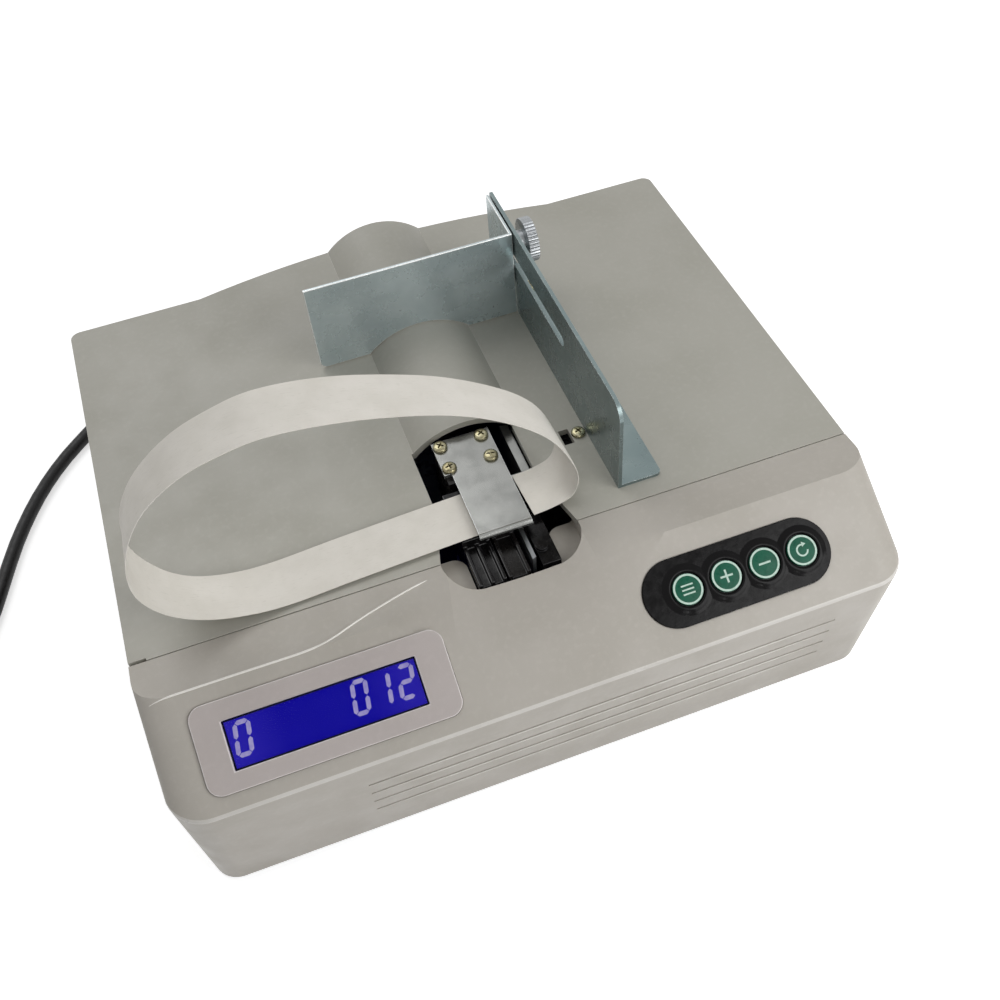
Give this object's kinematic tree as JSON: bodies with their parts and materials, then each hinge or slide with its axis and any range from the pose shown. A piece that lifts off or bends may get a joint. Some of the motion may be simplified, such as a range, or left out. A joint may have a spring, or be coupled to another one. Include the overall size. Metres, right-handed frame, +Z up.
{
  "type": "banknote strapping machine",
  "caption": "Desktop banknote strapping machine: moulded housing with sloped display and keypad panel, hinged lid, clamp tongue, note fence, sliding stop and paper strap.",
  "frame": {"origin": "on the table under the middle of the machine's bounding box, without the free cord", "axes": "+Z up, +Y to the back, +X to the right seen from the panel side"},
  "size_m": [0.4735, 0.3, 0.1754],
  "materials": {
    "housing_plastic": "fine texture",
    "zinc_sheet": "blue-white zinc",
    "rubber_black": "matte",
    "steel": "plain",
    "bezel_plastic": "satin",
    "lcd_glass": "gloss",
    "lcd_blue": "lit",
    "overlay_black": "gloss film",
    "board_green": "solder mask",
    "key_green": "gloss",
    "lid_plastic": "fine texture",
    "zinc_yellow": "yellow zinc",
    "black_plastic": "satin",
    "dark_alloy": "anodised",
    "roller_rubber": "matte",
    "motor_steel": "satin",
    "gear_plastic": "satin",
    "brass": "plain",
    "strap_paper": "plain",
    "core_steel": "varnished",
    "cord_rubber": "satin"
  },
  "bodies": {
    "base": {"housing": "housing_plastic", "bottom_plate": "zinc_sheet", "rubber_feet": "rubber_black", "housing_screws": "steel", "display_bezel": "bezel_plastic", "display_glass": "lcd_glass", "display_module": "lcd_blue", "keypad_overlay": "overlay_black", "keypad_board": "board_green", "hinge_pins": "steel", "clamp_plate": "zinc_sheet", "clamp_screws": "zinc_yellow", "tongue_support": "dark_alloy", "front_frame": "zinc_sheet", "rear_frame": "zinc_sheet", "frame_spacers": "steel", "strap_chute": "black_plastic", "feed_motor": "motor_steel", "cam_motor": "steel", "roll_bracket": "zinc_sheet", "paper_strap": "strap_paper", "strap_run": "strap_paper", "main_board": "board_green", "board_parts": "black_plastic", "transformer": "core_steel", "switch_frame": "black_plastic", "cord_gland": "cord_rubber", "power_cord": "cord_rubber", "cord_coil": "cord_rubber", "cord_tie": "black_plastic", "plug_body": "cord_rubber", "plug_pins": "steel"},
    "lid": {"top_lid": "lid_plastic", "fence": "zinc_sheet", "fence_screws": "zinc_yellow", "note_sensor": "black_plastic", "sensor_screw": "zinc_yellow"},
    "stop": {"stop_plate": "zinc_sheet"},
    "thumb": {"thumb_screw": "steel"},
    "menu_key": {"key_menu": "key_green"},
    "plus_key": {"key_plus": "key_green"},
    "minus_key": {"key_minus": "key_green"},
    "reset_key": {"key_reset": "key_green"},
    "rocker": {"switch_rocker": "black_plastic"},
    "roll": {"paper_roll": "strap_paper"},
    "feed": {"feed_shaft": "steel", "feed_roller": "roller_rubber"},
    "lever": {"pinch_lever": "zinc_sheet"},
    "pinch": {"pinch_roller": "steel"},
    "press": {"press_block": "black_plastic"},
    "heater": {"heater_block": "dark_alloy"},
    "cutter": {"cutter_blade": "steel"},
    "cams": {"cam_shaft": "steel", "cam_gear": "gear_plastic"},
    "pinion": {"cam_pinion": "brass"}
  },
  "joints": [
    {"name": "lid_hinge", "type": "hinge", "parent": "base", "child": "lid", "pos_m": [0, 0.098, 0.0772], "axis": [-1, 0, 0], "range_deg": [0, 65], "deforming": ["paper_strap"]},
    {"name": "stop_slide", "type": "slide", "parent": "lid", "child": "stop", "axis": [0, 1, 0], "range_m": [-0.0575, 0.0062]},
    {"name": "thumb_turn", "type": "hinge", "parent": "stop", "child": "thumb", "pos_m": [0.047, 0.0575, 0.1205], "axis": [1, 0, 0], "continuous": true},
    {"name": "menu_press", "type": "slide", "parent": "base", "child": "menu_key", "axis": [0, 0.5039, -0.8638], "range_m": [0, 0.0005], "stiffness_N_per_m": 1000},
    {"name": "plus_press", "type": "slide", "parent": "base", "child": "plus_key", "axis": [0, 0.5039, -0.8638], "range_m": [0, 0.0005], "stiffness_N_per_m": 1000},
    {"name": "minus_press", "type": "slide", "parent": "base", "child": "minus_key", "axis": [0, 0.5039, -0.8638], "range_m": [0, 0.0005], "stiffness_N_per_m": 1000},
    {"name": "reset_press", "type": "slide", "parent": "base", "child": "reset_key", "axis": [0, 0.5039, -0.8638], "range_m": [0, 0.0005], "stiffness_N_per_m": 1000},
    {"name": "rocker_tilt", "type": "hinge", "parent": "base", "child": "rocker", "pos_m": [0.04, 0.101, 0.045], "axis": [0, 0, 1], "range_deg": [0, 14]},
    {"name": "roll_spin", "type": "hinge", "parent": "base", "child": "roll", "pos_m": [0.085, -0.0475, 0.048], "axis": [0, 1, 0], "continuous": true},
    {"name": "feed_spin", "type": "hinge", "parent": "base", "child": "feed", "pos_m": [0.0178, -0.0475, 0.036], "axis": [0, 1, 0], "continuous": true},
    {"name": "lever_swing", "type": "hinge", "parent": "base", "child": "lever", "pos_m": [-0.003, -0.0475, 0.018], "axis": [0, 1, 0], "range_deg": [-6, 0], "stiffness_Nm_per_rad": 0.5, "springref_deg": 2.86},
    {"name": "pinch_spin", "type": "hinge", "parent": "lever", "child": "pinch", "pos_m": [0.0009, -0.0475, 0.036], "axis": [0, 1, 0], "continuous": true},
    {"name": "press_lift", "type": "slide", "parent": "base", "child": "press", "axis": [0, 0, 1], "range_m": [-0.003, 0]},
    {"name": "heater_lift", "type": "slide", "parent": "base", "child": "heater", "axis": [0, 0, 1], "range_m": [-0.003, 0]},
    {"name": "cutter_lift", "type": "slide", "parent": "base", "child": "cutter", "axis": [0, 0, 1], "range_m": [0, 0.0016]},
    {"name": "cam_spin", "type": "hinge", "parent": "base", "child": "cams", "pos_m": [-0.008, -0.0475, 0.058], "axis": [0, 1, 0], "continuous": true},
    {"name": "pinion_spin", "type": "hinge", "parent": "base", "child": "pinion", "pos_m": [-0.026, -0.0275, 0.058], "axis": [0, 1, 0], "continuous": true}
  ],
  "couplings": [
    {"joint": "pinch_spin", "follows": "feed_spin", "ratio": -1.2857},
    {"joint": "pinion_spin", "follows": "cam_spin", "ratio": -2}
  ]
}
